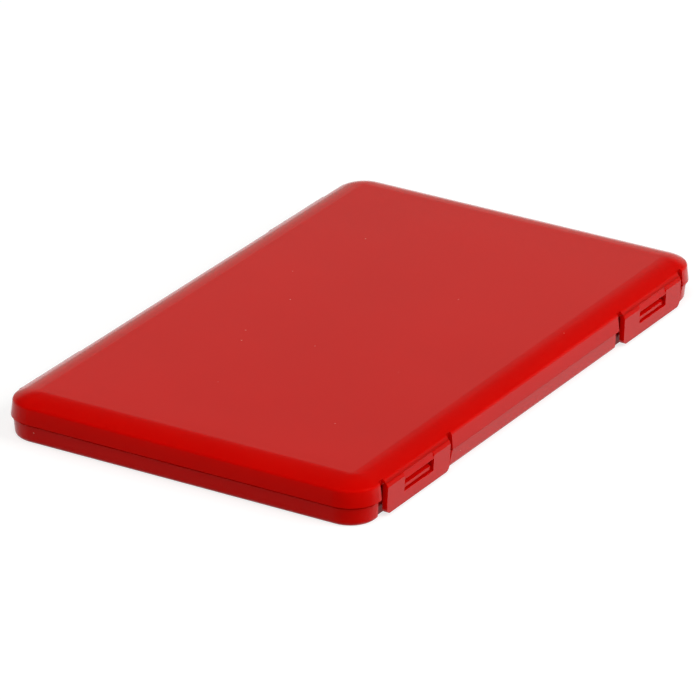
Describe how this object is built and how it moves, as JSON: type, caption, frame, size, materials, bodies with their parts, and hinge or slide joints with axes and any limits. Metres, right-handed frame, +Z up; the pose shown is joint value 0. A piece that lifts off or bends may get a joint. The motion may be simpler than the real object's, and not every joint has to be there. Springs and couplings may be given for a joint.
{
  "type": "memory card case",
  "caption": "Slim flat hinged case with rounded crown edges, a lid on pinned hinges and snap latches that hook over catches on the base, holding memory cards in a pocketed tray.",
  "frame": {"origin": "middle of the underside that the case rests on, halfway along its length and its shell's width", "axes": "+X along the latch side, +Y from the latches towards the hinges, +Z up through the lid"},
  "size_m": [0.105, 0.0661, 0.0071],
  "materials": {
    "red_shell_plastic": "smooth glossy moulded polypropylene, opaque red",
    "dark_tray_plastic": "fine matt moulded texture, dark grey",
    "steel_pin": "drawn bright wire"
  },
  "bodies": {
    "base": {"base_shell": "red_shell_plastic", "card_tray": "dark_tray_plastic", "left_hinge_pin": "steel_pin", "right_hinge_pin": "steel_pin"},
    "lid": {"lid_shell": "red_shell_plastic"},
    "left_latch_tongue": {"left_latch": "red_shell_plastic"},
    "right_latch_tongue": {"right_latch": "red_shell_plastic"}
  },
  "joints": [
    {"name": "lid_hinge", "type": "hinge", "parent": "base", "child": "lid", "pos_m": [0, 0.0323, 0.00355], "axis": [-1, 0, 0], "range_deg": [0, 180]},
    {"name": "left_latch_flex", "type": "hinge", "parent": "lid", "child": "left_latch_tongue", "pos_m": [-0.0363, -0.03175, 0.0051], "axis": [-1, 0, 0], "range_deg": [0, 12], "stiffness_Nm_per_rad": 0.06},
    {"name": "right_latch_flex", "type": "hinge", "parent": "lid", "child": "right_latch_tongue", "pos_m": [0.0363, -0.03175, 0.0051], "axis": [-1, 0, 0], "range_deg": [0, 12], "stiffness_Nm_per_rad": 0.06}
  ]
}
